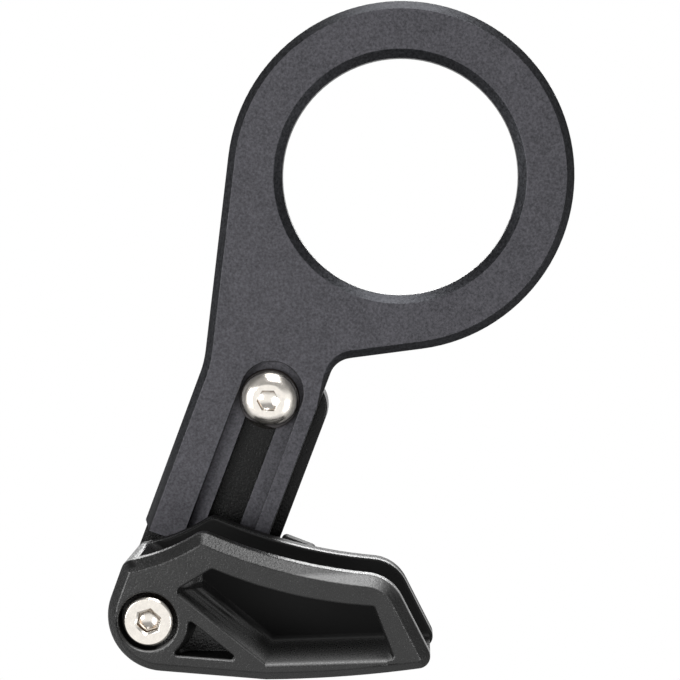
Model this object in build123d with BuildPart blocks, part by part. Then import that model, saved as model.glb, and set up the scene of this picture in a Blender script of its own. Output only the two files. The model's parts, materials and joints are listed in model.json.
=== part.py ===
import os
from math import atan2, cos, degrees, radians, sin, tan

from build123d import *

# Bicycle chain guide, seen from the chain side: X to the right, Z up, Y into the bicycle.
# The origin is on the bore's axis, halfway through the back plate.
# Lengths are in millimetres, and angles in degrees from +X towards +Z.

# Back plate: a ring with an arm
plate_thickness = 3.0
bore_diameter = 35.3
ring_diameter = 52.0
edge_chamfer = 1.25
arm_direction = 249.3
arm_left_reach = 17.9
arm_right_reach = 0.7
left_flank_facing = 172.9
lower_flank_facing = 277.7
left_bend_radius = 15.0
inner_corner_radius = 3.6
arm_corner_cut = 1.15
runout_angle = 8.7

# Slot along the arm, in a recessed ledge that runs out at the arm's end
slot_start = 37.2
slot_travel = 22.2
slot_width = 4.9
slot_offset = -6.55
ledge_depth = 1.2
head_clearance = 0.225
arm_end_wall = 2.0

# Slider behind the arm, with a foot that carries the cage in front
slider_thickness = 5.0
slider_inset = 0.3
slider_overhang = 1.7
slider_top_wall = 0.65
slider_top_radius = 5.0
slider_corner_radius = 2.0
slider_foot_radius = 6.0
slider_edge_break = 0.6
foot_gap = 3.85
foot_wall = 2.2

# Slider bolt: button head, and its nut
bolt_rest = 1.05
bolt_clearance = 0.1
button_diameter = 9.2
button_height = 2.75
button_rim = 0.5
button_flat_diameter = 4.6
button_dome_sag = 0.45
button_socket = 3.0
button_socket_depth = 1.8
slider_nut_flats = 8.0
slider_nut_height = 2.7

# Cage bolt: socket cap, and its nut
cage_bolt_diameter = 4.0
cap_diameter = 7.2
cap_height = 4.0
cap_edge = 0.3
cap_socket = 3.0
cap_socket_depth = 2.4
cap_socket_lead = 0.3
cap_socket_turn = 18.0
cage_nut_flats = 7.0
cage_nut_height = 3.2

# Shared by both bolts and nuts
hole_clearance = 0.2
thread_clearance = 0.05
bolt_tip_break = 0.5
nut_bore_break = 0.4
nut_turn = 30.0

# Chain cage: two plates joined below a channel
cage_gap = 0.3
inner_wall = 3.5
channel_width = 8.0
outer_wall = 3.2
front_bevel = 1.45
back_bevel = 0.7
cage_bolt_setback = 4.7
cage_bolt_inset = 7.0
counterbore_clearance = 0.675
cap_sink = 0.1

# Cage outline, from the cage bolt; the inner plate reaches further right than the rest
top_left = (-3.65, 8.5)
top_left_sag = (2.15, 10.1)
peak = (7.7, 13.1)
top_sag = (19.6, 9.0)
top_far = (38.0, 6.73)
top_right = (34.85, 6.8)
bottom_right = (41.5, -6.3)
bottom_far = (45.0, -5.64)
inner_reach = 0.5
bottom_sag = (28.2, -8.0)
bottom_middle = (16.9, -8.65)
bottom_left = (-9.35, -6.9)
top_left_inner_radius = 0.25
peak_radius = 2.2
top_right_radius = 6.0
bottom_right_inner_radius = 0.35
bottom_left_radius = 8.1

# Channel floor: a ramp from the upper left down to a crease, then a rise to the right
floor_crease = (16.85, -5.85)
ramp_slope = 38.5
floor_rise = 2.7
floor_root_radius = 0.9

# Window through the outer plate, down to the channel floor, with a ledge at its left and a rounded sill
window_left = 13.0
window_right = 18.05
window_draft = 0.63
window_top_right = (31.95, 2.65)
window_sag = (20.8, 4.2)
window_apex = (9.3, 7.85)
window_left_radius = 0.7
window_right_radius = 0.6
window_top_radius = 0.5
ledge_run = 2.75
sill_radius = 0.75
sill_stop = 0.45

# Blind pocket between the bolt and the ramp, with a wall that thickens towards its floor
pocket_depth = 5.0
pocket_boss_wall = 1.525
pocket_boss_draft = 0.8
pocket_boss_start = -57.0
pocket_boss_turn = 61.5
pocket_right = (13.2, -5.5)
pocket_corner_radius = 0.4

# Rib on the cage's back, beside the slider
rib_gap = 0.3
rib_width = 5.5
rib_depth = 2.3
rib_above_foot = 10.75
rib_length = 16.0
rib_corner_radius = 0.8


def flat(y):
    """Plane that faces the viewer at a distance Y behind the origin, with X and Z as its own axes."""
    return Plane(origin=(0, y, 0), x_dir=(1, 0, 0), z_dir=(0, -1, 0))


def along_arm(y):
    """Plane that faces the viewer, with its first axis down the arm and its second to the right across it."""
    down = (cos(radians(arm_direction)), 0, sin(radians(arm_direction)))
    return Plane(origin=(0, y, 0), x_dir=down, z_dir=(0, -1, 0))


def on_arm(along, across):
    """X and Z of a point given along and across the arm."""
    point = along_arm(0).from_local_coords((along, across, 0))
    return (point.X, point.Z)


def from_bolt(y):
    """Plane that faces the viewer, with its origin on the cage bolt's axis."""
    return Plane(origin=(cage_bolt_place[0], y, cage_bolt_place[1]), x_dir=(1, 0, 0), z_dir=(0, -1, 0))


def corner(facing_a, reach_a, facing_b, reach_b):
    """Corner of two straight edges, each given by the way it faces and its distance from the bore's axis."""
    turn = sin(radians(facing_b - facing_a))
    x = (reach_a * sin(radians(facing_b)) - reach_b * sin(radians(facing_a))) / turn
    z = (reach_b * cos(radians(facing_a)) - reach_a * cos(radians(facing_b))) / turn
    return (x, z)


def reach_of(point, facing):
    """Distance from the bore's axis to the straight edge through a point that faces a direction."""
    return point[0] * cos(radians(facing)) + point[1] * sin(radians(facing))


def nearest(builder, *points):
    """Vertices of a sketch that are nearest to the given points."""
    return [builder.vertices().sort_by_distance(point)[0] for point in points]


def floor_point(distance, slope):
    """Point of the channel floor at a distance across from the crease, on a straight run of a given slope."""
    return (floor_crease[0] + distance, floor_crease[1] + abs(distance) * tan(radians(slope)))


# Places that follow from the sizes
ring_radius = ring_diameter / 2
plate_front = -plate_thickness / 2
plate_back = plate_thickness / 2
arm_left_facing = arm_direction - 90
arm_right_facing = arm_direction + 90
arm_top_facing = arm_direction + 180
ledge_width = button_diameter + 2 * head_clearance
slot_end = slot_start + slot_travel
arm_length = slot_end + slot_width / 2 + arm_end_wall
blank_length = arm_length + arm_corner_cut + edge_chamfer
ledge_length = arm_length - slot_start
slider_back = plate_back + slider_thickness
slider_left_reach = arm_left_reach - slider_inset
slider_right_reach = arm_right_reach + slider_overhang
foot_start = arm_length + foot_gap
ledge_face = plate_front + ledge_depth
cage_back = plate_front - cage_gap
inner_face = cage_back - inner_wall
outer_face = inner_face - channel_width
cage_front = outer_face - outer_wall
slider_bolt_along = slot_start + bolt_rest
slider_bolt_place = on_arm(slider_bolt_along, slot_offset)
cage_bolt_along = foot_start + cage_bolt_setback
cage_bolt_across = cage_bolt_inset - arm_left_reach
cage_bolt_place = on_arm(cage_bolt_along, cage_bolt_across)
cap_seat = cage_front + cap_height + cap_sink
counterbore_diameter = cap_diameter + 2 * counterbore_clearance
pocket_boss_radius = counterbore_diameter / 2 + pocket_boss_wall
top_left_radius = front_bevel + top_left_inner_radius
bottom_right_radius = front_bevel + bottom_right_inner_radius
slider_bolt_diameter = slot_width - 2 * bolt_clearance
slider_top = slider_bolt_along - slider_nut_flats / 2 - hole_clearance - slider_top_wall
bottom_run = (bottom_middle[0] - bottom_left[0], bottom_middle[1] - bottom_left[1])
slider_bottom_facing = degrees(atan2(bottom_run[1], bottom_run[0])) - 90
slider_bottom_reach = reach_of(cage_bolt_place, slider_bottom_facing) + cage_nut_flats / 2 + foot_wall


def plate_outline(right_facing, right_reach, length):
    """Outline of the ring and an arm of a given length, with its right edge facing a direction at a distance."""
    left_bend = corner(left_flank_facing, ring_radius, arm_left_facing, arm_left_reach)
    left_end = corner(arm_left_facing, arm_left_reach, arm_direction, length)
    right_end = corner(arm_direction, length, right_facing, right_reach)
    inner_corner = corner(right_facing, right_reach, lower_flank_facing, ring_radius)
    with BuildSketch(mode=Mode.PRIVATE) as outline:
        with BuildLine():
            ring = CenterArc((0, 0), ring_radius, lower_flank_facing, left_flank_facing + 360 - lower_flank_facing)
            Polyline(ring @ 1, left_bend, left_end, right_end, inner_corner, ring @ 0)
        make_face()
        fillet(nearest(outline, left_bend), left_bend_radius)
        fillet(nearest(outline, inner_corner), inner_corner_radius)
        chamfer(nearest(outline, left_end, right_end), arm_corner_cut)
    return outline.sketch


# Back plate: the chamfer runs out beside the slot's start, and the arm's right edge below it and its end stay square
runout_facing = arm_right_facing + runout_angle
runout_reach = reach_of(on_arm(slot_start, arm_right_reach + edge_chamfer), runout_facing)

with BuildPart() as back_plate:
    with BuildSketch(flat(plate_back)):
        add(plate_outline(runout_facing, runout_reach, blank_length))
        Circle(bore_diameter / 2, mode=Mode.SUBTRACT)
    extrude(amount=plate_thickness)
    chamfer(back_plate.faces().sort_by(Axis.Y)[0].edges(), edge_chamfer)
    with BuildSketch(flat(plate_back)):
        add(plate_outline(arm_right_facing, arm_right_reach, arm_length))
    extrude(amount=plate_thickness, mode=Mode.INTERSECT)
    with BuildSketch(along_arm(plate_front)):
        with Locations((slot_start + ledge_length / 2, slot_offset)):
            SlotCenterToCenter(ledge_length, ledge_width)
    extrude(amount=-ledge_depth, mode=Mode.SUBTRACT)
    with BuildSketch(along_arm(plate_front)):
        with Locations((slot_start + slot_travel / 2, slot_offset)):
            SlotCenterToCenter(slot_travel, slot_width)
    extrude(amount=-plate_thickness, mode=Mode.SUBTRACT)


def slider_outline(top_along, top_radius):
    """Outline of the slider from a distance along the arm down to its foot."""
    top_edge = (arm_top_facing, -top_along)
    right_edge = (arm_right_facing, slider_right_reach)
    bottom_edge = (slider_bottom_facing, slider_bottom_reach)
    left_edge = (arm_left_facing, slider_left_reach)
    corners = [
        corner(*top_edge, *right_edge),
        corner(*right_edge, *bottom_edge),
        corner(*bottom_edge, *left_edge),
        corner(*left_edge, *top_edge),
    ]
    with BuildSketch(mode=Mode.PRIVATE) as outline:
        with BuildLine():
            Polyline(*corners, close=True)
        make_face()
        fillet(nearest(outline, corners[2]), slider_foot_radius)
        fillet(nearest(outline, corners[1]), slider_corner_radius)
        fillet(nearest(outline, corners[0], corners[3]), top_radius)
    return outline.sketch


with BuildPart() as slider:
    with BuildSketch(flat(slider_back)):
        add(slider_outline(slider_top, slider_top_radius))
    extrude(amount=slider_thickness)
    chamfer(slider.faces().sort_by(Axis.Y)[-1].edges(), slider_edge_break)
    with BuildSketch(flat(plate_back)):
        add(slider_outline(foot_start, slider_corner_radius))
    extrude(amount=plate_back - cage_back)
    with BuildSketch(flat(slider_back)):
        with Locations(slider_bolt_place):
            Circle(slider_bolt_diameter / 2 + hole_clearance)
        with Locations(cage_bolt_place):
            Circle(cage_bolt_diameter / 2 + hole_clearance)
    extrude(amount=slider_back - cage_back, mode=Mode.SUBTRACT)
    with BuildSketch(along_arm(slider_back)):
        with Locations((slider_bolt_along, slot_offset)):
            RegularPolygon(slider_nut_flats / 2 + hole_clearance, 6, major_radius=False, rotation=nut_turn)
    extrude(amount=slider_nut_height, mode=Mode.SUBTRACT)
    with BuildSketch(along_arm(slider_back)):
        with Locations((cage_bolt_along, cage_bolt_across)):
            RegularPolygon(cage_nut_flats / 2 + hole_clearance, 6, major_radius=False, rotation=nut_turn)
    extrude(amount=cage_nut_height, mode=Mode.SUBTRACT)


# Nuts, flush with the slider's back
with BuildPart() as slider_nut:
    with BuildSketch(along_arm(slider_back)):
        with Locations((slider_bolt_along, slot_offset)):
            RegularPolygon(slider_nut_flats / 2, 6, major_radius=False, rotation=nut_turn)
            Circle(slider_bolt_diameter / 2 + thread_clearance, mode=Mode.SUBTRACT)
    extrude(amount=slider_nut_height)
    chamfer(slider_nut.edges().filter_by(GeomType.CIRCLE), nut_bore_break)

with BuildPart() as cage_nut:
    with BuildSketch(along_arm(slider_back)):
        with Locations((cage_bolt_along, cage_bolt_across)):
            RegularPolygon(cage_nut_flats / 2, 6, major_radius=False, rotation=nut_turn)
            Circle(cage_bolt_diameter / 2 + thread_clearance, mode=Mode.SUBTRACT)
    extrude(amount=cage_nut_height)
    chamfer(cage_nut.edges().filter_by(GeomType.CIRCLE), nut_bore_break)


def turned(place, seat):
    """Plane through a bolt's axis: its first axis is the radius, and its second comes towards the viewer."""
    return Plane(origin=(place[0], seat, place[1]), x_dir=(1, 0, 0), z_dir=(0, 0, -1))


def bolt_axis(place):
    """Axis of a bolt, towards the viewer."""
    return Axis((place[0], 0, place[1]), (0, -1, 0))


# Slider bolt: a domed button on the slot's ledge
with BuildPart() as slider_bolt:
    shank = slider_bolt_diameter / 2
    tip = slider_back - ledge_face
    with BuildSketch(turned(slider_bolt_place, ledge_face)):
        with BuildLine():
            dome = SagittaArc(
                (button_diameter / 2, button_rim), (button_flat_diameter / 2, button_height), -button_dome_sag
            )
            Polyline(
                dome @ 1, (0, button_height), (0, -tip), (shank - bolt_tip_break, -tip),
                (shank, -tip + bolt_tip_break), (shank, 0), (button_diameter / 2, 0), dome @ 0,
            )
        make_face()
    revolve(axis=bolt_axis(slider_bolt_place))
    with BuildSketch(flat(ledge_face - button_height)):
        with Locations(slider_bolt_place):
            RegularPolygon(button_socket / 2, 6, major_radius=False)
    extrude(amount=-button_socket_depth, mode=Mode.SUBTRACT)

# Cage bolt: a socket cap sunk in the cage
with BuildPart() as cage_bolt:
    shank = cage_bolt_diameter / 2
    tip = slider_back - cap_seat
    with BuildSketch(turned(cage_bolt_place, cap_seat)):
        with BuildLine():
            Polyline(
                (0, -tip), (shank - bolt_tip_break, -tip), (shank, -tip + bolt_tip_break), (shank, 0),
                (cap_diameter / 2, 0), (cap_diameter / 2, cap_height - cap_edge),
                (cap_diameter / 2 - cap_edge, cap_height), (0, cap_height), close=True,
            )
        make_face()
    revolve(axis=bolt_axis(cage_bolt_place))
    with BuildSketch(flat(cap_seat - cap_height)):
        with Locations(cage_bolt_place):
            RegularPolygon(cap_socket / 2, 6, major_radius=False, rotation=cap_socket_turn)
    extrude(amount=-cap_socket_depth, mode=Mode.SUBTRACT)
    chamfer(cage_bolt.faces().sort_by(Axis.Y)[0].inner_wires()[0].edges(), cap_socket_lead)

# Chain cage: one moulding, cut by the channel, the window and the pocket
window_tip = floor_point(-window_left, ramp_slope)
beyond = 2 * (bottom_right[0] - bottom_left[0])
ramp_out = floor_point(-beyond, ramp_slope)
floor_out = floor_point(beyond, floor_rise)
across_sill = Plane(
    origin=from_bolt(cage_front).from_local_coords((*floor_crease, 0)), x_dir=(0, 1, 0),
    z_dir=(cos(radians(floor_rise)), 0, sin(radians(floor_rise))),
)


def window_outline(spread):
    """Outline of the window, with its right side moved out along the floor by a distance."""
    side_foot = floor_point(window_right + spread, floor_rise)
    side_top = (window_top_right[0] + spread, window_top_right[1] + spread * tan(radians(floor_rise)))
    with BuildSketch(mode=Mode.PRIVATE) as outline:
        with BuildLine():
            Polyline(window_apex, window_tip, floor_crease, side_foot, side_top)
            ThreePointArc(side_top, window_sag, window_apex)
        make_face()
        fillet(nearest(outline, window_tip), window_left_radius)
        fillet(nearest(outline, side_foot), window_right_radius)
        fillet(nearest(outline, side_top, window_apex), window_top_radius)
    return outline.sketch


def cage_outline(reach):
    """Outline of the cage, with its right end moved out by a distance."""
    run = (bottom_right[0] - top_right[0], bottom_right[1] - top_right[1])
    end_top = (top_right[0] + reach, top_right[1])
    end_bottom = (bottom_right[0] + reach, bottom_right[1])
    over = (end_top[0] - run[0], end_top[1] - run[1])
    under = (end_bottom[0] + run[0], end_bottom[1] + run[1])
    with BuildSketch(mode=Mode.PRIVATE) as outline:
        with BuildLine():
            ThreePointArc(top_left, top_left_sag, peak)
            ThreePointArc(peak, top_sag, top_far)
            Line(top_far, bottom_far)
            ThreePointArc(bottom_far, bottom_sag, bottom_middle)
            Polyline(bottom_middle, bottom_left, top_left)
        make_face()
        with BuildLine():
            Polyline(over, under, (beyond, under[1]), (beyond, over[1]), close=True)
        make_face(mode=Mode.SUBTRACT)
        fillet(nearest(outline, top_left), top_left_radius)
        fillet(nearest(outline, peak), peak_radius)
        fillet(nearest(outline, end_top), top_right_radius)
        fillet(nearest(outline, end_bottom), bottom_right_radius)
        fillet(nearest(outline, bottom_left), bottom_left_radius)
    return outline.sketch


def pocket_outline(spread):
    """Outline of the pocket, with the wall round the bolt's boss thicker by a distance."""
    with BuildSketch(mode=Mode.PRIVATE) as outline:
        with BuildLine():
            boss = CenterArc((0, 0), pocket_boss_radius + spread, pocket_boss_start, pocket_boss_turn)
            Polyline(boss @ 1, pocket_right, boss @ 0)
        make_face()
        fillet(outline.vertices(), pocket_corner_radius)
    return outline.sketch


with BuildPart() as chain_cage:
    with BuildSketch(from_bolt(cage_back)):
        add(cage_outline(inner_reach))
    extrude(amount=cage_back - cage_front)
    with BuildSketch(from_bolt(inner_face)):
        with Locations((top_sag[0] + beyond / 2, 0)):
            Rectangle(beyond, beyond)
        add(cage_outline(0), mode=Mode.SUBTRACT)
    extrude(amount=inner_face - cage_front, mode=Mode.SUBTRACT)
    chamfer(chain_cage.faces().sort_by(Axis.Y)[0].edges(), front_bevel)
    chamfer(chain_cage.faces().sort_by(Axis.Y)[-1].edges(), back_bevel)
    with BuildSketch(from_bolt(inner_face)):
        with BuildLine():
            Polyline(floor_crease, floor_out, (floor_out[0], ramp_out[1]), ramp_out, close=True)
        make_face()
    extrude(amount=channel_width, mode=Mode.SUBTRACT)
    inner_edges = chain_cage.edges().filter_by_position(Axis.Y, inner_face, inner_face)
    root_places = [floor_point(window_right / 2, floor_rise), floor_point(-window_left / 2, ramp_slope)]
    roots = [
        inner_edges.sort_by_distance(from_bolt(inner_face).from_local_coords((*place, 0)))[0] for place in root_places
    ]
    fillet(roots, floor_root_radius)
    for face, spread in ((outer_face, 0), (cage_front, window_draft)):
        with BuildSketch(from_bolt(face)):
            add(window_outline(spread))
    loft(ruled=True, mode=Mode.SUBTRACT)
    with BuildSketch(across_sill):
        with Locations((0, -sill_radius / 2)):
            Rectangle(2 * sill_radius, sill_radius)
        with Locations((sill_radius, -sill_radius)):
            Circle(sill_radius, mode=Mode.SUBTRACT)
    extrude(amount=(window_right - sill_stop) / cos(radians(floor_rise)), mode=Mode.SUBTRACT)
    for face, spread in ((cage_front, 0), (cage_front + pocket_depth, pocket_boss_draft)):
        with BuildSketch(from_bolt(face)):
            add(pocket_outline(spread))
    loft(ruled=True, mode=Mode.SUBTRACT)
    with Locations(from_bolt(cage_front)):
        CounterBoreHole(cage_bolt_diameter / 2 + hole_clearance, counterbore_diameter / 2, cap_height + cap_sink)
    with BuildSketch(from_bolt(inner_face), mode=Mode.PRIVATE) as ledge_foot:
        with BuildLine():
            Polyline(window_tip, floor_point(ledge_run - window_left, ramp_slope),
                     (window_tip[0] + ledge_run, window_tip[1]), close=True)
        make_face()
    loft(sections=[ledge_foot.sketch, Vertex(*from_bolt(cage_front).from_local_coords((*window_tip, 0)))])
    with BuildSketch(along_arm(cage_back)):
        with Locations((foot_start - rib_above_foot + rib_length / 2, slider_right_reach + rib_gap + rib_width / 2)):
            RectangleRounded(rib_length, rib_width, rib_corner_radius)
    extrude(amount=-rib_depth)

pieces = {
    "back_plate": back_plate,
    "slider": slider,
    "slider_bolt": slider_bolt,
    "slider_nut": slider_nut,
    "chain_cage": chain_cage,
    "cage_bolt": cage_bolt,
    "cage_nut": cage_nut,
}

os.makedirs("parts", exist_ok=True)
for name, piece in pieces.items():
    piece.part.label = name
    export_step(piece.part, f"parts/{name}.step")
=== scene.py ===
"""Finishes and stage of a bicycle chain guide: dark anodised plate, moulded chain cage and bright bolts."""

import json
from math import radians

import bmesh
import bpy
from bpy.props import FloatProperty, FloatVectorProperty, IntProperty, PointerProperty
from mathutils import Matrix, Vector


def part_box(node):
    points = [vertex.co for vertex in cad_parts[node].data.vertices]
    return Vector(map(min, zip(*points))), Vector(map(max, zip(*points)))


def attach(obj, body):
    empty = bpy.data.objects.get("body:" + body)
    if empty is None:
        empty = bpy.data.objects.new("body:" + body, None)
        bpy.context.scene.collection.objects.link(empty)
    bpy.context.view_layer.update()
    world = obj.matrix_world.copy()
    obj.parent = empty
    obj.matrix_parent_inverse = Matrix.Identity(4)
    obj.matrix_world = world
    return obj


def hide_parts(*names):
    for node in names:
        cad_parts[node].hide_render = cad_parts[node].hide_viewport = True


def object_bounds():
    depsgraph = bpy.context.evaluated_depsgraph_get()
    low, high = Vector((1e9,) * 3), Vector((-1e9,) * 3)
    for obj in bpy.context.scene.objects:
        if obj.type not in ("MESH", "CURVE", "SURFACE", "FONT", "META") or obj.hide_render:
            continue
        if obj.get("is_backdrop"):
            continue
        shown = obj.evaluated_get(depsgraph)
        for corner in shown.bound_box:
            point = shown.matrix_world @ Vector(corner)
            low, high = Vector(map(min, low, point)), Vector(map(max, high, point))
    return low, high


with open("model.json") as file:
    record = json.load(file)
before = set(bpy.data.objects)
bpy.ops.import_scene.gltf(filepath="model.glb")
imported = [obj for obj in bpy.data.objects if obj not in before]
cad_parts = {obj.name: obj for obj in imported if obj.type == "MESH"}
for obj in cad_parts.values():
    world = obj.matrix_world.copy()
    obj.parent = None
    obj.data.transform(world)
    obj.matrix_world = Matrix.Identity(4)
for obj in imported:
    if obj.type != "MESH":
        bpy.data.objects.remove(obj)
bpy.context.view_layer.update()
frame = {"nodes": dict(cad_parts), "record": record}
cage_low, cage_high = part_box("chain_cage")

bl_info = {
    "name": "Bicycle Chain Guide",
    "version": (1, 0, 0),
    "blender": (4, 5, 0),
    "location": "View3D > Sidebar > Chain Guide",
    "description": "Gives the chain guide its finishes and sets the stage around it",
    "category": "Object",
}

MM = 0.001

# Rims: which edges are rounded, and how the meshes around them are merged and shaded
MERGE_DISTANCE = 0.002 * MM
FLAT_ANGLE = radians(0.3)
EDGE_ANGLE = radians(28)
BLUNT_ANGLE = radians(60)
BLUNT_WEIGHT = 0.5
SMOOTH_ANGLE = radians(50)
FACE_WEIGHT = 100

# Noise levels that a pattern is spread over, and how the noise of the streaks is stretched
NOISE_SPAN = (0.3, 0.7)
SPECK_SPAN = (0.34, 0.7)
STREAK_SPAN = (0.4, 0.6)
MARK_SPAN = (0.35, 0.7)
STREAK_STRETCH = (0.06, 1, 0.06)

# Tones and patterns, as shares
CLOUD_SHARE = 0.15
CHAMFER_CONTRAST = 0.45
NYLON_DARK = 0.85
NYLON_LIGHT = 1.2
STEEL_DULL = 0.9

# Roughness over a pattern's span, and how much smoother the chamfers are
PLATE_ROUGHNESS = (0.50, 0.66)
CHAMFER_POLISH = 0.18
NYLON_ROUGHNESS = (0.22, 0.34)
STEEL_ROUGHNESS = (0.16, 0.26)

# Squared facing along the depth: where a surface starts to be a chamfer or a wall, and where it is one
CHAMFER_LEVEL = (0.94, 0.72)
# The wall and socket levels place the painted shade on the plate's upright walls and in the bolts' sockets
WALL_LEVEL = (0.3, 0.1)
SOCKET_LEVEL = (0.25, 0.08)

# Facing along one axis: where a mask starts, and where it is whole
FRONT_FACING = (-0.2, -0.5)
STEEP_FACING = (-0.9, -0.7)
INWARD_FACING = (-0.4, -0.2)
TOP_FACING = (0.2, 0.4)
END_FACING = (0.5, 0.8)
LYING_FACING = (0.3, 0.7)
RAMP_FACING = (0.3, 0.5)

# Depth limits of the moulding's masks of painted shade and painted light, from the inner wall, its rim, the
# cage's back or its front
WALL_FRONT = (-1.0 * MM, -0.5 * MM)
WALL_BACK = (0.4 * MM, 0.1 * MM)
TOP_FRONT = (0.4 * MM, 1.0 * MM)
BACK_FADE = (0.2 * MM, 0.0)
RECESS_FRONT = (0.4 * MM, 0.6 * MM)
SILL_PAINTED_LIGHT = (9 * MM, 1 * MM)

# Limits across the cage, from the top of the chain's run, the foot, the lowest corner and the right end
RUN_TOP = (0.0, -0.5 * MM)
POCKET_FOOT = (2.6 * MM, 2.8 * MM)
UNDER_RAMP = (15.93 * MM, 15.53 * MM)
CHANNEL_END = (-5.04 * MM, -4.64 * MM)

# The way the ramp faces, along X and Z
RAMP_SLOPE = (0.62, 0.78)

# Studio walls: the height or depth of a direction where a wall or its tone starts, and where it is whole
CARD_HEIGHT = (0.2, -0.8)
WALL_HEIGHT = (0.40, 0.15)
FRONT_DEPTH = (-0.15, -0.45)
FRONT_HEIGHT = (-0.90, -0.55)
REAR_DEPTH = (0.25, 0.80)
REAR_HEIGHT = (-0.75, -0.35)

# Softboxes: where each one stands, and its width and height, in metres
SOFTBOXES = {
    "key": ((0.07, -0.24, 0.50), (0.30, 0.30)),
    "fill": ((-0.21, -0.18, -0.02), (0.15, 0.15)),
    "edge": ((0.20, -0.22, -0.14), (0.10, 0.10)),
    "strip": ((0.01, 0.0, 0.5), (0.36, 0.30)),
    "rim": ((0.00, 0.50, 0.18), (0.50, 0.16)),
}

# Floor, camera and backdrop
FLOOR_SIDES = 96
FLOOR_GREY = (0.5, 0.5, 0.5, 1)
FLOOR_COVER = (0.6, 0.0)
NEAREST_VIEW = 10 * MM
WHITE = (1, 1, 1, 1)

# Sockets of a Mix node that is set to colours
MIX_FACTOR = 0
MIX_FIRST = 6
MIX_SECOND = 7
MIX_RESULT = 2


class Output:
    """An output socket of a node. Sums, differences and products of numbers add Math nodes to its tree."""

    def __init__(self, tree, socket):
        self.tree = tree
        self.socket = socket

    def other(self, name):
        """Another output of the same node."""
        return Output(self.tree, self.socket.node.outputs[name])

    def calculate(self, operation, *values):
        """Adds a Math node that takes numbers and outputs."""
        node = self.tree.nodes.new("ShaderNodeMath")
        node.operation = operation
        for place, value in zip(node.inputs, values):
            feed(place, value)
        return Output(self.tree, node.outputs[0])

    def __add__(self, other):
        return self.calculate("ADD", self, other)

    def __radd__(self, other):
        return self.calculate("ADD", other, self)

    def __sub__(self, other):
        return self.calculate("SUBTRACT", self, other)

    def __rsub__(self, other):
        return self.calculate("SUBTRACT", other, self)

    def __mul__(self, other):
        return self.calculate("MULTIPLY", self, other)

    def __rmul__(self, other):
        return self.calculate("MULTIPLY", other, self)


def feed(place, value):
    """Links an output to an input socket, or gives the socket a plain value."""
    if isinstance(value, Output):
        value.tree.links.new(value.socket, place)
    else:
        place.default_value = value


class Finish:
    """The node tree of a material or a world. Its patterns lie on Object coordinates."""

    def __init__(self, owner):
        self.owner = owner
        self.owner.use_nodes = True
        self.tree = self.owner.node_tree
        self.tree.nodes.clear()

    def node(self, kind, settings=None, inputs=None, output=0):
        """Adds a node, applies its settings, feeds its sockets and gives back one output, if it has any."""
        node = self.tree.nodes.new(kind)
        for setting, value in (settings or {}).items():
            setattr(node, setting, value)
        for place, value in (inputs or {}).items():
            feed(node.inputs[place], value)
        return Output(self.tree, node.outputs[output]) if node.outputs else None

    def place(self, stretch=(1, 1, 1)):
        """Object coordinates, stretched."""
        spot = self.node("ShaderNodeTexCoord", output="Object")
        return self.node("ShaderNodeMapping", inputs={"Vector": spot, "Scale": stretch})

    def noise(self, size, detail, roughness=0.5, stretch=(1, 1, 1)):
        """Noise whose grains have about the given size in metres."""
        return self.node("ShaderNodeTexNoise", inputs={
            "Vector": self.place(stretch), "Scale": 1 / size, "Detail": detail, "Roughness": roughness,
        })

    def spread(self, value, limits, to=(0.0, 1.0)):
        """Maps a number from one range to another, and holds it there."""
        return self.node("ShaderNodeMapRange", {"clamp": True}, {
            "Value": value, "From Min": limits[0], "From Max": limits[1], "To Min": to[0], "To Max": to[1],
        })

    def mix(self, share, first, second):
        """Mixes two colours."""
        colours = [value if isinstance(value, Output) else (*value, 1) for value in (first, second)]
        inputs = {MIX_FACTOR: share, MIX_FIRST: colours[0], MIX_SECOND: colours[1]}
        return self.node("ShaderNodeMix", {"data_type": "RGBA"}, inputs, MIX_RESULT)

    def along(self, axis):
        """How far a point lies along an axis."""
        return self.node("ShaderNodeSeparateXYZ", inputs={"Vector": self.place()}, output=axis)

    def facing(self, axis):
        """How far a surface faces along an axis."""
        normal = self.node("ShaderNodeNewGeometry", output="Normal")
        return self.node("ShaderNodeSeparateXYZ", inputs={"Vector": normal}, output=axis)

    def bump(self, height, depth, strength):
        """Normals of a surface whose height varies by a depth in metres."""
        return self.node("ShaderNodeBump", inputs={
            "Height": height, "Distance": depth, "Strength": strength,
        })

    def shader(self, **sockets):
        """Adds a Principled shader."""
        return self.node("ShaderNodeBsdfPrincipled", inputs={
            name.replace("_", " "): value for name, value in sockets.items()
        })

    def surface(self, shader):
        """Ends the material in a shader."""
        self.node("ShaderNodeOutputMaterial", inputs={"Surface": shader})
        return self.owner


class PlateSettings(bpy.types.PropertyGroup):
    """Sizes and colours of the back plate."""

    shade: FloatVectorProperty(
        name="Shade", description="Darker tone of the anodised face",
        subtype="COLOR", default=(0.015, 0.015, 0.018), min=0, max=1,
    )
    tint: FloatVectorProperty(
        name="Tint", description="Lighter tone of the blasted grain",
        subtype="COLOR", default=(0.070, 0.068, 0.078), min=0, max=1,
    )
    chamfer: FloatVectorProperty(
        name="Chamfer", description="Reflection of the smoother chamfers",
        subtype="COLOR", default=(0.050, 0.051, 0.056), min=0, max=1,
    )
    # Painted shade: the upright walls reflect this dark colour, which stands for the shade along the
    # plate's outlines and slot
    wall: FloatVectorProperty(
        name="Wall", description="Reflection of the upright walls",
        subtype="COLOR", default=(0.010, 0.010, 0.011), min=0, max=1,
    )
    grain: FloatProperty(
        name="Grain", description="Size of the blasted grain",
        unit="LENGTH", precision=6, default=0.4 * MM,
    )
    relief: FloatProperty(
        name="Relief", description="Depth of the blasted grain",
        unit="LENGTH", precision=6, default=0.04 * MM,
    )
    cloud: FloatProperty(
        name="Cloud", description="Size of the faint patches",
        unit="LENGTH", precision=6, default=3 * MM,
    )
    edge: FloatProperty(
        name="Edge", description="Width of the rounded edges",
        unit="LENGTH", precision=6, default=0.2 * MM,
    )


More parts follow.
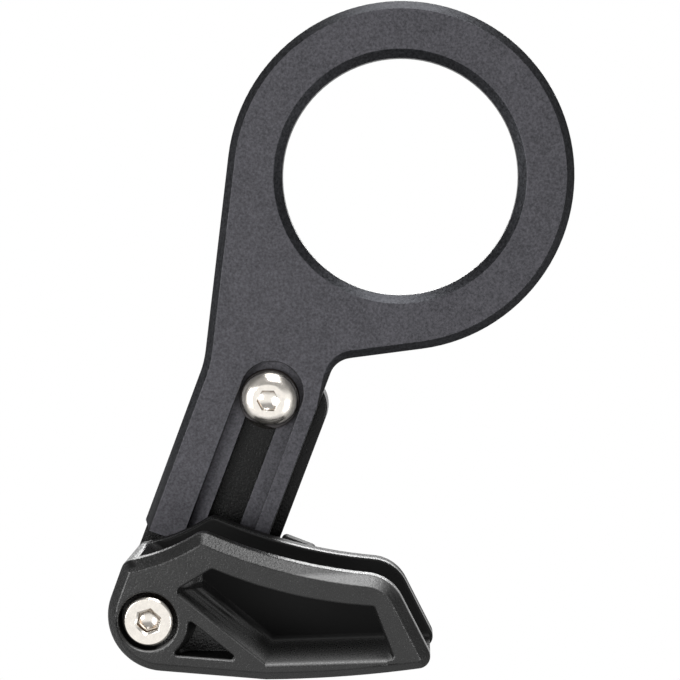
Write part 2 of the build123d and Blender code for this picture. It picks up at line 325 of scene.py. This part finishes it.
class MouldingSettings(bpy.types.PropertyGroup):
    """Sizes and colours of the moulded cage and slider."""

    cage_shade: FloatVectorProperty(
        name="Cage shade", description="Colour of the cage's plastic",
        subtype="COLOR", default=(0.009, 0.009, 0.009), min=0, max=1,
    )
    cage_gloss: FloatProperty(
        name="Cage gloss", description="Strength of the cage's reflections",
        subtype="FACTOR", default=0.48, min=0, max=1,
    )
    slider_shade: FloatVectorProperty(
        name="Slider shade", description="Colour of the slider's plastic",
        subtype="COLOR", default=(0.004, 0.004, 0.004), min=0, max=1,
    )
    slider_gloss: FloatProperty(
        name="Slider gloss", description="Strength of the slider's reflections",
        subtype="FACTOR", default=0.2, min=0, max=1,
    )
    # Painted shade: this dark colour on the channel's inner wall, the recesses, the channel's right end and
    # the inner plate's top stands for shade
    painted_wall_shade: FloatVectorProperty(
        name="Wall shade", description="Colour of the dull walls and of the inner plate's top",
        subtype="COLOR", default=(0.004, 0.004, 0.004), min=0, max=1,
    )
    inner_wall: FloatProperty(
        name="Inner wall", description="Thickness of the cage's inner plate",
        unit="LENGTH", precision=6, default=3.5 * MM,
    )
    rib: FloatProperty(
        name="Rib", description="Depth of the rib on the cage's back",
        unit="LENGTH", precision=6, default=2.3 * MM,
    )
    # Painted light: the ramp's light streaks take this colour, which stands for the light falling on the
    # ramp
    ramp_streaks_and_painted_light: FloatVectorProperty(
        name="Run shade", description="Colour of the streaks where the chain rubs",
        subtype="COLOR", default=(0.075, 0.075, 0.075), min=0, max=1,
    )
    # Painted light: the sill takes this colour at its front, fading to the back, for the light that falls
    # through the window
    sill_painted_light: FloatVectorProperty(
        name="Sill shade", description="Colour of the rubbed sill",
        subtype="COLOR", default=(0.13, 0.13, 0.13), min=0, max=1,
    )
    run_height: FloatProperty(
        name="Run height", description="Height of the rubbed ramp over the cage's foot",
        unit="LENGTH", precision=6, default=16 * MM,
    )
    grain: FloatProperty(
        name="Grain", description="Size of the mould's grain",
        unit="LENGTH", precision=6, default=0.32 * MM,
    )
    relief: FloatProperty(
        name="Relief", description="Depth of the mould's grain",
        unit="LENGTH", precision=6, default=0.09 * MM,
    )
    cloud: FloatProperty(
        name="Cloud", description="Size of the faint patches",
        unit="LENGTH", precision=6, default=4 * MM,
    )
    streak: FloatProperty(
        name="Streak", description="Width of the chain's streaks",
        unit="LENGTH", precision=6, default=1.4 * MM,
    )
    edge: FloatProperty(
        name="Edge", description="Width of the rounded edges",
        unit="LENGTH", precision=6, default=0.35 * MM,
    )


class BoltSettings(bpy.types.PropertyGroup):
    """Sizes and colours of the bolts and nuts."""

    steel: FloatVectorProperty(
        name="Steel", description="Colour of the stainless steel",
        subtype="COLOR", default=(0.93, 0.88, 0.81), min=0, max=1,
    )
    # Painted shade: the bolts' upright walls, in the sockets and on steep flanks, take this brown for their
    # shade
    wall: FloatVectorProperty(
        name="Wall", description="Colour of the upright walls, as in the sockets",
        subtype="COLOR", default=(0.14, 0.095, 0.06), min=0, max=1,
    )
    marks: FloatProperty(
        name="Marks", description="Size of the rubbing marks",
        unit="LENGTH", precision=6, default=0.6 * MM,
    )
    relief: FloatProperty(
        name="Relief", description="Depth of the rubbing marks",
        unit="LENGTH", precision=6, default=0.01 * MM,
    )
    edge: FloatProperty(
        name="Edge", description="Width of the rounded edges",
        unit="LENGTH", precision=6, default=0.08 * MM,
    )


class StageSettings(bpy.types.PropertyGroup):
    """Camera, lights and floor."""

    camera_place: FloatVectorProperty(
        name="Camera", description="Where the camera stands", subtype="TRANSLATION", precision=6,
        default=(2.303 * MM, -221.5 * MM, -5.623 * MM),
    )
    camera_aim: FloatVectorProperty(
        name="Aim", description="The way the camera looks", subtype="DIRECTION", precision=5,
        default=(-0.05063, 0.99511, -0.0848),
    )
    lens: FloatProperty(
        name="Lens", description="Focal length of the camera", subtype="DISTANCE_CAMERA", default=77.75,
    )
    front_top: FloatProperty(
        name="Front top", description="Light of the wall behind and over the camera", default=0.35, min=0,
    )
    front_foot: FloatProperty(
        name="Front foot", description="Light of the wall behind and below the camera", default=1.0, min=0,
    )
    back_wall: FloatProperty(
        name="Back wall", description="Light of the wall behind the part", default=1.0, min=0,
    )
    card_top: FloatProperty(
        name="Card top", description="Light of the side cards over the part", default=0.15, min=0,
    )
    card_foot: FloatProperty(
        name="Card foot", description="Light of the side cards below the part", default=0.30, min=0,
    )
    key_power: FloatProperty(
        name="Key power", description="Power of the light above the front",
        subtype="POWER", default=1.7, min=0,
    )
    fill_power: FloatProperty(
        name="Fill power", description="Power of the light at the left",
        subtype="POWER", default=0.58, min=0,
    )
    edge_power: FloatProperty(
        name="Edge power", description="Power of the light at the right",
        subtype="POWER", default=0.30, min=0,
    )
    strip_power: FloatProperty(
        name="Strip power", description="Power of the overhead light",
        subtype="POWER", default=1.4, min=0,
    )
    rim_power: FloatProperty(
        name="Rim power", description="Power of the light behind the part",
        subtype="POWER", default=2.4, min=0,
    )
    floor_drop: FloatProperty(
        name="Floor drop", description="Height of the part over the floor", unit="LENGTH", default=0.42,
    )
    floor_radius: FloatProperty(
        name="Floor radius", description="Radius of the floor", unit="LENGTH", default=0.25,
    )


class ChainGuideSettings(bpy.types.PropertyGroup):
    """All that a user would change."""

    plate: PointerProperty(type=PlateSettings)
    moulding: PointerProperty(type=MouldingSettings)
    bolts: PointerProperty(type=BoltSettings)
    stage: PointerProperty(type=StageSettings)
    segments: IntProperty(
        name="Segments", description="Steps in each rounded edge", default=3, min=1, max=6,
    )


def body_of(node):
    """Name of the CAD body that holds a node."""
    return next(body for body, nodes in frame["record"]["behaviour"]["bodies"].items() if node in nodes)


def merged_copy(node):
    """Copies a CAD node into a new piece, merges its loose triangles and divides its flat faces evenly."""
    bpy.ops.object.select_all(action="DESELECT")
    piece = bpy.data.objects.new(node + "_dressed", frame["nodes"][node].data.copy())
    bpy.context.scene.collection.objects.link(piece)
    piece.select_set(True)
    bpy.context.view_layer.objects.active = piece
    bpy.ops.object.mode_set(mode="EDIT")
    bpy.ops.mesh.select_all(action="SELECT")
    bpy.ops.mesh.customdata_custom_splitnormals_clear()
    bpy.ops.mesh.remove_doubles(threshold=MERGE_DISTANCE)
    bpy.ops.mesh.dissolve_limited(angle_limit=FLAT_ANGLE)
    bpy.ops.mesh.quads_convert_to_tris(quad_method="BEAUTY", ngon_method="BEAUTY")
    bpy.ops.object.mode_set(mode="OBJECT")
    return piece


def is_rim(edge):
    """Whether an edge is a convex one that runs across the depth."""
    first, last = edge.verts
    level = abs(first.co.y - last.co.y) < MERGE_DISTANCE
    return level and edge.is_convex and edge.calc_face_angle() > EDGE_ANGLE


def mark_rims(mesh):
    """Weighs the rims that are rounded, blunt ones less. They stop one edge short of where a rim ends."""
    form = bmesh.new()
    form.from_mesh(mesh)
    rims = {edge for edge in form.edges if is_rim(edge)}
    weights = mesh.attributes.new("bevel_weight_edge", "FLOAT", "EDGE")
    for edge, weight in zip(form.edges, weights.data):
        goes_on = all(len(rims.intersection(end.link_edges)) == 2 for end in edge.verts)
        if edge in rims and goes_on:
            weight.value = 1.0 if edge.calc_face_angle() > BLUNT_ANGLE else BLUNT_WEIGHT
    form.free()


def round_rims(piece, edge, segments):
    """Rounds the rims of a piece and joins its flat faces again."""
    mark_rims(piece.data)
    bevel = piece.modifiers.new("rims", "BEVEL")
    bevel.width = edge
    bevel.segments = segments
    bevel.limit_method = "WEIGHT"
    bevel.use_clamp_overlap = False
    bevel.loop_slide = False
    bpy.ops.object.modifier_apply(modifier=bevel.name)
    bpy.ops.object.mode_set(mode="EDIT")
    bpy.ops.mesh.select_all(action="SELECT")
    bpy.ops.mesh.dissolve_limited(angle_limit=FLAT_ANGLE)
    bpy.ops.object.mode_set(mode="OBJECT")


def shade_smooth(piece):
    """Shades a piece smoothly between its sharp edges, with large faces kept flat."""
    bpy.ops.object.shade_smooth_by_angle(angle=SMOOTH_ANGLE)
    normals = piece.modifiers.new("normals", "WEIGHTED_NORMAL")
    normals.weight = FACE_WEIGHT
    bpy.ops.object.modifier_apply(modifier=normals.name)


def dress(node, edge, segments, finish):
    """Models a piece on a CAD node's form, with its rims rounded, and lets it stand for the node."""
    piece = merged_copy(node)
    round_rims(piece, edge, segments)
    shade_smooth(piece)
    piece.data.materials.clear()
    piece.data.materials.append(finish)
    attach(piece, body_of(node))
    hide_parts(node)


def blasted_anodised(settings):
    """Bead blasted aluminium under a dark grey anodised skin, with smoother chamfers and painted shade on
    its upright walls.
    """
    finish = Finish(bpy.data.materials.new("blasted_anodised"))
    level = finish.facing("Y") * finish.facing("Y")
    grain = finish.noise(settings.grain, detail=4, roughness=0.75)
    cloud = finish.spread(finish.noise(settings.cloud, detail=3), NOISE_SPAN)
    cut = finish.spread(level, CHAMFER_LEVEL)
    speck = finish.spread(grain, SPECK_SPAN)
    face = finish.mix(speck * (1 - CLOUD_SHARE) + cloud * CLOUD_SHARE, settings.shade, settings.tint)
    dull = [(1 - CHAMFER_CONTRAST) * part for part in settings.chamfer]
    bright = [(1 + CHAMFER_CONTRAST) * part for part in settings.chamfer]
    # Painted shade: the upright walls get the dark wall colour
    side = finish.mix(finish.spread(level, WALL_LEVEL), finish.mix(speck, dull, bright), settings.wall)
    return finish.surface(finish.shader(
        Base_Color=finish.mix(cut, face, side),
        Roughness=finish.spread(grain, NOISE_SPAN, PLATE_ROUGHNESS) - cut * CHAMFER_POLISH,
        Metallic=cut,
        Specular_IOR_Level=0.25,
        Normal=finish.bump(grain, settings.relief, strength=0.8),
    ))


def from_place(place, limits):
    """Limits of a mask that are given from a place."""
    return [place + limit for limit in limits]


def inner_wall_depth(settings):
    """Where the channel's inner wall stands along the depth."""
    return cage_high.y - settings.rib - settings.inner_wall


def below_run_top(finish, settings):
    """One below the top of the chain's run, and nothing over it."""
    return finish.spread(finish.along("Z"), from_place(cage_low.z + settings.run_height, RUN_TOP))


def painted_shade_on_channel_wall(finish, settings):
    """One on the smooth inner wall of the channel, where shade is painted, and nothing elsewhere."""
    depth = finish.along("Y")
    wall_depth = inner_wall_depth(settings)
    behind = finish.spread(depth, from_place(wall_depth, WALL_FRONT))
    before = finish.spread(depth, from_place(wall_depth, WALL_BACK))
    return behind * before * finish.spread(finish.facing("Y"), FRONT_FACING)


def painted_shade_on_inner_top(finish, settings):
    """One on the tops of the cage's inner plate and rib, behind the front rim, where shade is painted, and
    nothing elsewhere.
    """
    depth = finish.along("Y")
    front_rim = inner_wall_depth(settings) + settings.edge
    behind = finish.spread(depth, from_place(front_rim, TOP_FRONT))
    before = finish.spread(depth, from_place(cage_high.y, BACK_FADE))
    return behind * before * finish.spread(finish.facing("Z"), TOP_FACING)


def painted_shade_in_recesses(finish, settings):
    """One on the walls of the cage's recesses and on the channel's right end, where shade is painted, and
    nothing elsewhere.
    """
    across = finish.along("X")
    height = finish.along("Z")
    depth = finish.along("Y")
    slope_x, slope_z = RAMP_SLOPE
    lowest_corner = cage_low.x * slope_x + cage_low.z * slope_z
    inside = finish.spread(depth, from_place(cage_low.y, RECESS_FRONT))
    before = finish.spread(depth, from_place(inner_wall_depth(settings), BACK_FADE))
    steep = finish.spread(finish.facing("Y"), STEEP_FACING)
    not_left = finish.spread(finish.facing("X"), INWARD_FACING)
    not_down = finish.spread(finish.facing("Z"), INWARD_FACING)
    under = finish.spread(across * slope_x + height * slope_z, from_place(lowest_corner, UNDER_RAMP))
    above = finish.spread(height, from_place(cage_low.z, POCKET_FOOT))
    pocket = steep * not_left * not_down * under * above
    lying = below_run_top(finish, settings) * finish.spread(finish.facing("Z"), END_FACING)
    end = finish.spread(across, from_place(cage_high.x, CHANNEL_END)) * lying
    return inside * before * (pocket + end)


def painted_light_on_ramp_and_sill(finish, settings):
    """One on the channel's ramp, streaked where the chain rubs and lightened by painted light, and on the
    front of its sill, where light is painted, and nothing elsewhere.
    """
    lying = below_run_top(finish, settings) * finish.spread(finish.facing("Z"), LYING_FACING)
    ramp = finish.spread(finish.facing("X"), RAMP_FACING)
    sill = finish.spread(finish.along("Y"), from_place(cage_low.y, SILL_PAINTED_LIGHT))
    # Painted light: the sill grows lighter towards its front
    return lying * (ramp + (1 - ramp) * sill * sill)


def moulded_plastic(name, shade, gloss, settings):
    """Black nylon, grained by its mould, with painted shade on its inner walls, recesses and inner tops,
    which are duller, and painted light on the streaked ramp and the sill.
    """
    finish = Finish(bpy.data.materials.new(name))
    grain = finish.noise(settings.grain, detail=3, roughness=0.6)
    cloud = finish.noise(settings.cloud, detail=2)
    streak = finish.noise(settings.streak, detail=4, roughness=0.7, stretch=STREAK_STRETCH)
    dark = [NYLON_DARK * part for part in shade]
    light = [NYLON_LIGHT * part for part in shade]
    outside = finish.mix(finish.spread(cloud, NOISE_SPAN), dark, light)
    # Painted light: the ramp's streaks run up to a lighter colour, and the sill takes its own lighter
    # colour
    ramp = finish.mix(finish.spread(streak, STREAK_SPAN), light, settings.ramp_streaks_and_painted_light)
    rubbed_and_painted_light = finish.mix(finish.spread(finish.facing("X"), RAMP_FACING), settings.sill_painted_light, ramp)
    grained = finish.shader(
        Base_Color=finish.mix(painted_light_on_ramp_and_sill(finish, settings), outside, rubbed_and_painted_light),
        Roughness=finish.spread(grain, NOISE_SPAN, NYLON_ROUGHNESS),
        Specular_IOR_Level=gloss,
        Normal=finish.bump(grain, settings.relief, strength=0.9),
    )
    # Painted shade: a dark, duller shader on the channel's inner wall, the recesses and the inner plate's
    # top
    dull = finish.shader(Base_Color=(*settings.painted_wall_shade, 1), Roughness=0.5, Specular_IOR_Level=0.1)
    painted_shade_parts = painted_shade_on_channel_wall(finish, settings) + painted_shade_on_inner_top(finish, settings) + painted_shade_in_recesses(finish, settings)
    share = finish.spread(painted_shade_parts, (0, 1))
    return finish.surface(finish.node("ShaderNodeMixShader", inputs={0: share, 1: grained, 2: dull}))


def stainless_steel(settings):
    """Bright stainless steel with faint rubbing marks, and painted brown shade on its upright walls and in
    its sockets.
    """
    finish = Finish(bpy.data.materials.new("stainless_steel"))
    marks = finish.noise(settings.marks, detail=4, roughness=0.7)
    dull = [STEEL_DULL * part for part in settings.steel]
    bright = finish.mix(finish.spread(marks, MARK_SPAN), dull, settings.steel)
    # Painted shade: upright walls and sockets take a brown colour
    upright = finish.spread(finish.facing("Y") * finish.facing("Y"), SOCKET_LEVEL)
    return finish.surface(finish.shader(
        Base_Color=finish.mix(upright, bright, settings.wall),
        Roughness=finish.spread(marks, NOISE_SPAN, STEEL_ROUGHNESS),
        Metallic=1.0,
        Normal=finish.bump(marks, settings.relief, strength=0.2),
    ))


class CHAINGUIDE_OT_plate(bpy.types.Operator):
    """Give the back plate its edges and its blasted, anodised finish"""

    bl_idname = "chainguide.plate"
    bl_label = "Back plate"

    def execute(self, context):
        guide = context.scene.chain_guide
        dress("back_plate", guide.plate.edge, guide.segments, blasted_anodised(guide.plate))
        return {"FINISHED"}


class CHAINGUIDE_OT_cage(bpy.types.Operator):
    """Give the chain cage its rounded rims and its grained plastic"""

    bl_idname = "chainguide.cage"
    bl_label = "Chain cage"

    def execute(self, context):
        guide = context.scene.chain_guide
        moulding = guide.moulding
        finish = moulded_plastic("cage_nylon", moulding.cage_shade, moulding.cage_gloss, moulding)
        dress("chain_cage", moulding.edge, guide.segments, finish)
        return {"FINISHED"}


class CHAINGUIDE_OT_slider(bpy.types.Operator):
    """Give the slider its rounded edges and its plastic"""

    bl_idname = "chainguide.slider"
    bl_label = "Slider"

    def execute(self, context):
        guide = context.scene.chain_guide
        moulding = guide.moulding
        finish = moulded_plastic("slider_nylon", moulding.slider_shade, moulding.slider_gloss, moulding)
        dress("slider", moulding.edge, guide.segments, finish)
        return {"FINISHED"}


class CHAINGUIDE_OT_bolts(bpy.types.Operator):
    """Give the bolts and nuts their edges and their steel"""

    bl_idname = "chainguide.bolts"
    bl_label = "Bolts and nuts"

    def execute(self, context):
        guide = context.scene.chain_guide
        finish = stainless_steel(guide.bolts)
        for node in ("slider_bolt", "cage_bolt", "slider_nut", "cage_nut"):
            dress(node, guide.bolts.edge, guide.segments, finish)
        return {"FINISHED"}


def looking(way):
    """Turn of a lamp or a camera that looks a given way."""
    return Vector(way).to_track_quat("-Z", "Y").to_euler()


def lay_floor(stage, place):
    """Pale round floor that fades out towards its edge."""
    bpy.ops.object.select_all(action="DESELECT")
    bpy.ops.mesh.primitive_circle_add(
        vertices=FLOOR_SIDES, radius=stage.floor_radius, fill_type="NGON", location=place,
    )
    floor = bpy.context.object
    floor.name = "floor"
    pale = Finish(bpy.data.materials.new("pale_floor"))
    reach = pale.along("X") * pale.along("X") + pale.along("Y") * pale.along("Y")
    cover = pale.spread(reach, (0.0, stage.floor_radius ** 2), FLOOR_COVER)
    material = pale.surface(pale.shader(Base_Color=FLOOR_GREY, Roughness=0.9, Alpha=cover))
    floor.data.materials.append(material)
    floor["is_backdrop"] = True


def softbox(name, place, aim, size, power):
    """Oblong area light that points at a place."""
    light = bpy.data.lights.new(name, "AREA")
    light.shape = "RECTANGLE"
    light.size, light.size_y = size
    light.energy = power
    lamp = bpy.data.objects.new(name, light)
    lamp.location = place
    lamp.rotation_euler = looking(Vector(aim) - Vector(place))
    bpy.context.scene.collection.objects.link(lamp)


def studio_walls(stage):
    """World that cameras see as white. It lights from front and back, with dark cards at both sides."""
    world = bpy.data.worlds.new("studio_walls")
    bpy.context.scene.world = world
    sky = Finish(world)
    way = sky.node("ShaderNodeTexCoord", output="Generated")
    depth = sky.node("ShaderNodeSeparateXYZ", inputs={"Vector": way}, output="Y")
    height = depth.other("Z")
    card = sky.spread(height, CARD_HEIGHT, (stage.card_top, stage.card_foot))
    wall = sky.spread(height, WALL_HEIGHT, (stage.front_top, stage.front_foot))
    front = sky.spread(depth, FRONT_DEPTH) * sky.spread(height, FRONT_HEIGHT) * (wall - card)
    rear = sky.spread(depth, REAR_DEPTH) * sky.spread(height, REAR_HEIGHT)
    level = card + front + rear * (stage.back_wall - card)
    camera = sky.node("ShaderNodeLightPath", output="Is Camera Ray")
    seen = camera + (camera.other("Is Glossy Ray") + camera.other("Is Transmission Ray")) * rear
    strength = level + seen * (1 - level)
    light = sky.node("ShaderNodeBackground", inputs={"Color": WHITE, "Strength": strength})
    sky.node("ShaderNodeOutputWorld", inputs={"Surface": light})


def set_camera(stage):
    """Camera at the photograph's viewing angle."""
    camera = bpy.data.objects.new("camera", bpy.data.cameras.new("camera"))
    camera.location = stage.camera_place
    camera.rotation_euler = looking(stage.camera_aim)
    camera.data.lens = stage.lens
    camera.data.clip_start = NEAREST_VIEW
    bpy.context.scene.collection.objects.link(camera)
    bpy.context.scene.camera = camera


class CHAINGUIDE_OT_stage(bpy.types.Operator):
    """Set the floor, the lights and the camera"""

    bl_idname = "chainguide.stage"
    bl_label = "Stage"

    def execute(self, context):
        stage = context.scene.chain_guide.stage
        low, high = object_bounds()
        centre = (low + high) / 2
        lay_floor(stage, (centre.x, centre.y, low.z - stage.floor_drop))
        for name, (place, size) in SOFTBOXES.items():
            softbox(name, place, centre, size, getattr(stage, name + "_power"))
        studio_walls(stage)
        set_camera(stage)
        context.scene.view_settings.view_transform = "Standard"
        return {"FINISHED"}


class CHAINGUIDE_PT_panel(bpy.types.Panel):
    """Lists the steps that finish the chain guide"""

    bl_idname = "CHAINGUIDE_PT_panel"
    bl_label = "Chain Guide"
    bl_space_type = "VIEW_3D"
    bl_region_type = "UI"
    bl_category = "Chain Guide"

    def draw(self, context):
        for step in STEPS:
            self.layout.operator(step.bl_idname)


STEPS = (
    CHAINGUIDE_OT_plate,
    CHAINGUIDE_OT_cage,
    CHAINGUIDE_OT_slider,
    CHAINGUIDE_OT_bolts,
    CHAINGUIDE_OT_stage,
)
CLASSES = (
    PlateSettings,
    MouldingSettings,
    BoltSettings,
    StageSettings,
    ChainGuideSettings,
    *STEPS,
    CHAINGUIDE_PT_panel,
)


def register():
    """Registers the classes and the scene's settings."""
    for item in CLASSES:
        bpy.utils.register_class(item)
    bpy.types.Scene.chain_guide = PointerProperty(type=ChainGuideSettings)


def unregister():
    """Takes the settings and the classes out again."""
    del bpy.types.Scene.chain_guide
    for item in reversed(CLASSES):
        bpy.utils.unregister_class(item)


def main():
    """Runs the steps in order."""
    register()
    bpy.ops.chainguide.plate()
    bpy.ops.chainguide.cage()
    bpy.ops.chainguide.slider()
    bpy.ops.chainguide.bolts()
    bpy.ops.chainguide.stage()


if __name__ == "__main__":
    main()
